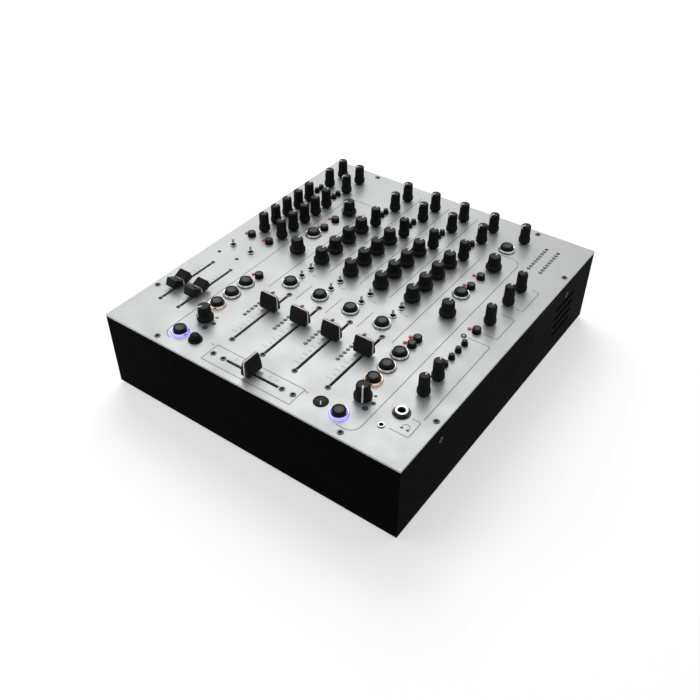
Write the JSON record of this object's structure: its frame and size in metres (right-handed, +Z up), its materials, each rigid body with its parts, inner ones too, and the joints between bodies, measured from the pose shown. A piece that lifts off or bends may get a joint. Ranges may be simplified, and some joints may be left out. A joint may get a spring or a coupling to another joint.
{
  "type": "dj mixer",
  "caption": "Flat-topped club mixer: knobs, toggles, lit push buttons, channel faders and a crossfader on a silver panel over a folded black steel case.",
  "frame": {"origin": "on the table, under the middle of the case", "axes": "+X to the right of the player, +Y to the back, +Z up"},
  "size_m": [0.3212, 0.358, 0.1056],
  "materials": {
    "panel_aluminium": "satin, finely textured",
    "case_paint": "satin black powder coat",
    "board_laminate": "glass laminate with solder resist",
    "plated_steel": "plated",
    "switch_plastic": "moulded",
    "lamp_lens": "tinted clear lens",
    "ring_plastic": "clear moulded ring",
    "screw_steel": "blackened",
    "foot_rubber": "matt",
    "jack_chrome": "polished",
    "socket_plastic": "moulded",
    "supply_iron": "wound core under tape",
    "lever_chrome": "polished",
    "fader_plastic": "moulded, white line",
    "button_plastic": "moulded, grey top",
    "knob_rubber": "soft-touch, white pointer"
  },
  "bodies": {
    "mixer": {"base_plate": "case_paint", "button_rings": "ring_plastic", "case_screws": "screw_steel", "case_wrap": "case_paint", "circuit_boards": "board_laminate", "crossfader_plate": "panel_aluminium", "fader_tracks": "plated_steel", "indicator_lamps": "lamp_lens", "level_knobs": "knob_rubber", "mains_inlet": "socket_plastic", "phones_jacks": "jack_chrome", "power_supply": "supply_iron", "rear_panel": "case_paint", "rear_sockets": "socket_plastic", "rotary_pots": "plated_steel", "rubber_feet": "foot_rubber", "switch_housings": "switch_plastic", "top_panel": "panel_aluminium"},
    "eq_knob_1_high": {"eq_knob_1_high": "knob_rubber"},
    "eq_knob_1_upper_mid": {"eq_knob_1_upper_mid": "knob_rubber"},
    "eq_knob_1_lower_mid": {"eq_knob_1_lower_mid": "knob_rubber"},
    "eq_knob_1_low": {"eq_knob_1_low": "knob_rubber"},
    "eq_knob_2_high": {"eq_knob_2_high": "knob_rubber"},
    "eq_knob_2_upper_mid": {"eq_knob_2_upper_mid": "knob_rubber"},
    "eq_knob_2_lower_mid": {"eq_knob_2_lower_mid": "knob_rubber"},
    "eq_knob_2_low": {"eq_knob_2_low": "knob_rubber"},
    "eq_knob_3_high": {"eq_knob_3_high": "knob_rubber"},
    "eq_knob_3_upper_mid": {"eq_knob_3_upper_mid": "knob_rubber"},
    "eq_knob_3_lower_mid": {"eq_knob_3_lower_mid": "knob_rubber"},
    "eq_knob_3_low": {"eq_knob_3_low": "knob_rubber"},
    "eq_knob_4_high": {"eq_knob_4_high": "knob_rubber"},
    "eq_knob_4_upper_mid": {"eq_knob_4_upper_mid": "knob_rubber"},
    "eq_knob_4_lower_mid": {"eq_knob_4_lower_mid": "knob_rubber"},
    "eq_knob_4_low": {"eq_knob_4_low": "knob_rubber"},
    "filter_knob_left_mode": {"filter_knob_left_mode": "knob_rubber"},
    "filter_knob_left_depth": {"filter_knob_left_depth": "knob_rubber"},
    "filter_knob_left_sweep": {"filter_knob_left_sweep": "knob_rubber"},
    "filter_knob_right_mode": {"filter_knob_right_mode": "knob_rubber"},
    "filter_knob_right_depth": {"filter_knob_right_depth": "knob_rubber"},
    "filter_knob_right_sweep": {"filter_knob_right_sweep": "knob_rubber"},
    "curve_selector": {"curve_selector": "knob_rubber"},
    "cue_buttons": {"cue_buttons": "button_plastic"},
    "left_filter_buttons": {"left_filter_buttons": "button_plastic"},
    "right_filter_buttons": {"right_filter_buttons": "button_plastic"},
    "lamp_buttons": {"lamp_buttons": "button_plastic"},
    "mini_buttons": {"mini_buttons": "button_plastic"},
    "tap_button": {"tap_button": "button_plastic"},
    "assign_levers_1": {"assign_levers_1": "lever_chrome"},
    "assign_levers_2": {"assign_levers_2": "lever_chrome"},
    "assign_levers_3": {"assign_levers_3": "lever_chrome"},
    "assign_levers_4": {"assign_levers_4": "lever_chrome"},
    "input_lever_1": {"input_lever_1": "lever_chrome"},
    "input_lever_2": {"input_lever_2": "lever_chrome"},
    "channel_fader_1": {"channel_fader_1": "fader_plastic"},
    "channel_fader_2": {"channel_fader_2": "fader_plastic"},
    "channel_fader_3": {"channel_fader_3": "fader_plastic"},
    "channel_fader_4": {"channel_fader_4": "fader_plastic"},
    "input_fader_1": {"input_fader_1": "fader_plastic"},
    "input_fader_2": {"input_fader_2": "fader_plastic"},
    "crossfader": {"crossfader": "fader_plastic"}
  },
  "joints": [
    {"name": "eq_knob_1_high_turn", "type": "hinge", "parent": "mixer", "child": "eq_knob_1_high", "pos_m": [-0.05, 0.069, 0.084], "axis": [0, 0, 1], "range_deg": [-150, 150]},
    {"name": "eq_knob_1_upper_mid_turn", "type": "hinge", "parent": "mixer", "child": "eq_knob_1_upper_mid", "pos_m": [-0.05, 0.0465, 0.084], "axis": [0, 0, 1], "range_deg": [-150, 150]},
    {"name": "eq_knob_1_lower_mid_turn", "type": "hinge", "parent": "mixer", "child": "eq_knob_1_lower_mid", "pos_m": [-0.05, 0.024, 0.084], "axis": [0, 0, 1], "range_deg": [-150, 150]},
    {"name": "eq_knob_1_low_turn", "type": "hinge", "parent": "mixer", "child": "eq_knob_1_low", "pos_m": [-0.05, 0.0015, 0.084], "axis": [0, 0, 1], "range_deg": [-150, 150]},
    {"name": "eq_knob_2_high_turn", "type": "hinge", "parent": "mixer", "child": "eq_knob_2_high", "pos_m": [-0.015, 0.069, 0.084], "axis": [0, 0, 1], "range_deg": [-150, 150]},
    {"name": "eq_knob_2_upper_mid_turn", "type": "hinge", "parent": "mixer", "child": "eq_knob_2_upper_mid", "pos_m": [-0.015, 0.0465, 0.084], "axis": [0, 0, 1], "range_deg": [-150, 150]},
    {"name": "eq_knob_2_lower_mid_turn", "type": "hinge", "parent": "mixer", "child": "eq_knob_2_lower_mid", "pos_m": [-0.015, 0.024, 0.084], "axis": [0, 0, 1], "range_deg": [-150, 150]},
    {"name": "eq_knob_2_low_turn", "type": "hinge", "parent": "mixer", "child": "eq_knob_2_low", "pos_m": [-0.015, 0.0015, 0.084], "axis": [0, 0, 1], "range_deg": [-150, 150]},
    {"name": "eq_knob_3_high_turn", "type": "hinge", "parent": "mixer", "child": "eq_knob_3_high", "pos_m": [0.02, 0.069, 0.084], "axis": [0, 0, 1], "range_deg": [-150, 150]},
    {"name": "eq_knob_3_upper_mid_turn", "type": "hinge", "parent": "mixer", "child": "eq_knob_3_upper_mid", "pos_m": [0.02, 0.0465, 0.084], "axis": [0, 0, 1], "range_deg": [-150, 150]},
    {"name": "eq_knob_3_lower_mid_turn", "type": "hinge", "parent": "mixer", "child": "eq_knob_3_lower_mid", "pos_m": [0.02, 0.024, 0.084], "axis": [0, 0, 1], "range_deg": [-150, 150]},
    {"name": "eq_knob_3_low_turn", "type": "hinge", "parent": "mixer", "child": "eq_knob_3_low", "pos_m": [0.02, 0.0015, 0.084], "axis": [0, 0, 1], "range_deg": [-150, 150]},
    {"name": "eq_knob_4_high_turn", "type": "hinge", "parent": "mixer", "child": "eq_knob_4_high", "pos_m": [0.055, 0.069, 0.084], "axis": [0, 0, 1], "range_deg": [-150, 150]},
    {"name": "eq_knob_4_upper_mid_turn", "type": "hinge", "parent": "mixer", "child": "eq_knob_4_upper_mid", "pos_m": [0.055, 0.0465, 0.084], "axis": [0, 0, 1], "range_deg": [-150, 150]},
    {"name": "eq_knob_4_lower_mid_turn", "type": "hinge", "parent": "mixer", "child": "eq_knob_4_lower_mid", "pos_m": [0.055, 0.024, 0.084], "axis": [0, 0, 1], "range_deg": [-150, 150]},
    {"name": "eq_knob_4_low_turn", "type": "hinge", "parent": "mixer", "child": "eq_knob_4_low", "pos_m": [0.055, 0.0015, 0.084], "axis": [0, 0, 1], "range_deg": [-150, 150]},
    {"name": "filter_knob_left_mode_turn", "type": "hinge", "parent": "mixer", "child": "filter_knob_left_mode", "pos_m": [-0.0803, 0.0895, 0.084], "axis": [0, 0, 1], "range_deg": [-300, 0]},
    {"name": "filter_knob_left_depth_turn", "type": "hinge", "parent": "mixer", "child": "filter_knob_left_depth", "pos_m": [-0.0803, 0.0016, 0.084], "axis": [0, 0, 1], "range_deg": [-150, 150]},
    {"name": "filter_knob_left_sweep_turn", "type": "hinge", "parent": "mixer", "child": "filter_knob_left_sweep", "pos_m": [-0.0803, -0.1322, 0.084], "axis": [0, 0, 1], "range_deg": [-300, 0]},
    {"name": "filter_knob_right_mode_turn", "type": "hinge", "parent": "mixer", "child": "filter_knob_right_mode", "pos_m": [0.093, 0.0895, 0.084], "axis": [0, 0, 1], "range_deg": [-150, 150]},
    {"name": "filter_knob_right_depth_turn", "type": "hinge", "parent": "mixer", "child": "filter_knob_right_depth", "pos_m": [0.093, 0.0016, 0.084], "axis": [0, 0, 1], "range_deg": [-150, 150]},
    {"name": "filter_knob_right_sweep_turn", "type": "hinge", "parent": "mixer", "child": "filter_knob_right_sweep", "pos_m": [0.093, -0.1322, 0.084], "axis": [0, 0, 1], "range_deg": [0, 300]},
    {"name": "curve_selector_turn", "type": "hinge", "parent": "mixer", "child": "curve_selector", "pos_m": [0.067, -0.1545, 0.084], "axis": [0, 0, 1], "range_deg": [-80, 10]},
    {"name": "cue_buttons_press", "type": "slide", "parent": "mixer", "child": "cue_buttons", "axis": [0, 0, -1], "range_m": [0, 0.002], "stiffness_N_per_m": 400, "springref_m": -0.002},
    {"name": "left_filter_buttons_press", "type": "slide", "parent": "mixer", "child": "left_filter_buttons", "axis": [0, 0, -1], "range_m": [0, 0.002], "stiffness_N_per_m": 450, "springref_m": -0.002},
    {"name": "right_filter_buttons_press", "type": "slide", "parent": "mixer", "child": "right_filter_buttons", "axis": [0, 0, -1], "range_m": [0, 0.002], "stiffness_N_per_m": 500, "springref_m": -0.002},
    {"name": "lamp_buttons_press", "type": "slide", "parent": "mixer", "child": "lamp_buttons", "axis": [0, 0, -1], "range_m": [0, 0.002], "stiffness_N_per_m": 400, "springref_m": -0.002},
    {"name": "mini_buttons_press", "type": "slide", "parent": "mixer", "child": "mini_buttons", "axis": [0, 0, -1], "range_m": [0, 0.002], "stiffness_N_per_m": 400, "springref_m": -0.002},
    {"name": "tap_button_press", "type": "slide", "parent": "mixer", "child": "tap_button", "axis": [0, 0, -1], "range_m": [0, 0.002], "stiffness_N_per_m": 150, "springref_m": -0.002},
    {"name": "assign_levers_1_tilt", "type": "hinge", "parent": "mixer", "child": "assign_levers_1", "pos_m": [-0.0517, -0.02085, 0.081], "axis": [0, 1, 0], "range_deg": [-12, 12]},
    {"name": "assign_levers_2_tilt", "type": "hinge", "parent": "mixer", "child": "assign_levers_2", "pos_m": [-0.0167, -0.02085, 0.081], "axis": [0, 1, 0], "range_deg": [-12, 12]},
    {"name": "assign_levers_3_tilt", "type": "hinge", "parent": "mixer", "child": "assign_levers_3", "pos_m": [0.0183, -0.02085, 0.081], "axis": [0, 1, 0], "range_deg": [-12, 12]},
    {"name": "assign_levers_4_tilt", "type": "hinge", "parent": "mixer", "child": "assign_levers_4", "pos_m": [0.0533, -0.02085, 0.081], "axis": [0, 1, 0], "range_deg": [-12, 12]},
    {"name": "input_lever_1_tilt", "type": "hinge", "parent": "mixer", "child": "input_lever_1", "pos_m": [-0.141, -0.0265, 0.081], "axis": [0, 1, 0], "range_deg": [-12, 12]},
    {"name": "input_lever_2_tilt", "type": "hinge", "parent": "mixer", "child": "input_lever_2", "pos_m": [-0.118, -0.0265, 0.081], "axis": [0, 1, 0], "range_deg": [-12, 12]},
    {"name": "channel_fader_1_slide", "type": "slide", "parent": "mixer", "child": "channel_fader_1", "axis": [0, 1, 0], "range_m": [-0.042, 0.018]},
    {"name": "channel_fader_2_slide", "type": "slide", "parent": "mixer", "child": "channel_fader_2", "axis": [0, 1, 0], "range_m": [-0.042, 0.018]},
    {"name": "channel_fader_3_slide", "type": "slide", "parent": "mixer", "child": "channel_fader_3", "axis": [0, 1, 0], "range_m": [-0.042, 0.018]},
    {"name": "channel_fader_4_slide", "type": "slide", "parent": "mixer", "child": "channel_fader_4", "axis": [0, 1, 0], "range_m": [-0.042, 0.018]},
    {"name": "input_fader_1_slide", "type": "slide", "parent": "mixer", "child": "input_fader_1", "axis": [0, 1, 0], "range_m": [-0.0147, 0.0353]},
    {"name": "input_fader_2_slide", "type": "slide", "parent": "mixer", "child": "input_fader_2", "axis": [0, 1, 0], "range_m": [-0.0147, 0.0353]},
    {"name": "crossfader_slide", "type": "slide", "parent": "mixer", "child": "crossfader", "axis": [1, 0, 0], "range_m": [-0.0225, 0.0225]}
  ]
}
